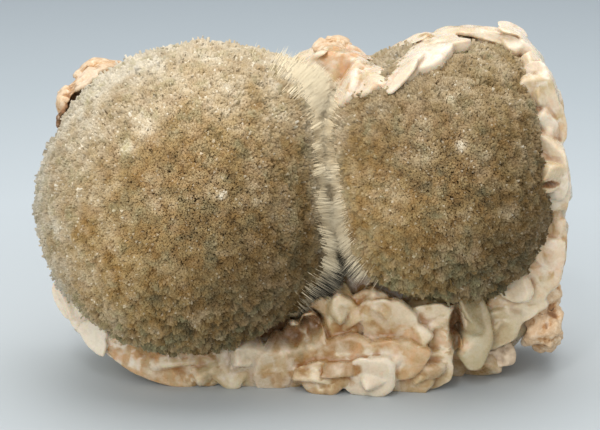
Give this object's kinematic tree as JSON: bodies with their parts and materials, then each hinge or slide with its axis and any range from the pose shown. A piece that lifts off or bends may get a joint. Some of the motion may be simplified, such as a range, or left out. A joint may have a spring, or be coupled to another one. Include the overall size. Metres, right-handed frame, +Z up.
{
  "type": "mineral specimen",
  "caption": "Standing mineral specimen: two balls of radiating needle crystals, seated side by side in a crust of flat bladed crystals over a rough piece of rock.",
  "frame": {"origin": "on the resting plane, under the middle of the specimen's box", "axes": "+Z up, +X to the right as the specimen faces the viewer, and the two balls face -Y"},
  "size_m": [0.1367, 0.0695, 0.0916],
  "materials": {
    "rock": "rough, granular, orange-brown",
    "stilbite": "waxy to pearly, peach-cream crystal faces",
    "needles": "fine glassy needles, tan with pale tips"
  },
  "bodies": {
    "root": {"rock_matrix": "rock", "stilbite_crust": "stilbite", "thomsonite_ball_left": "needles", "thomsonite_ball_right": "needles"}
  },
  "joints": []
}
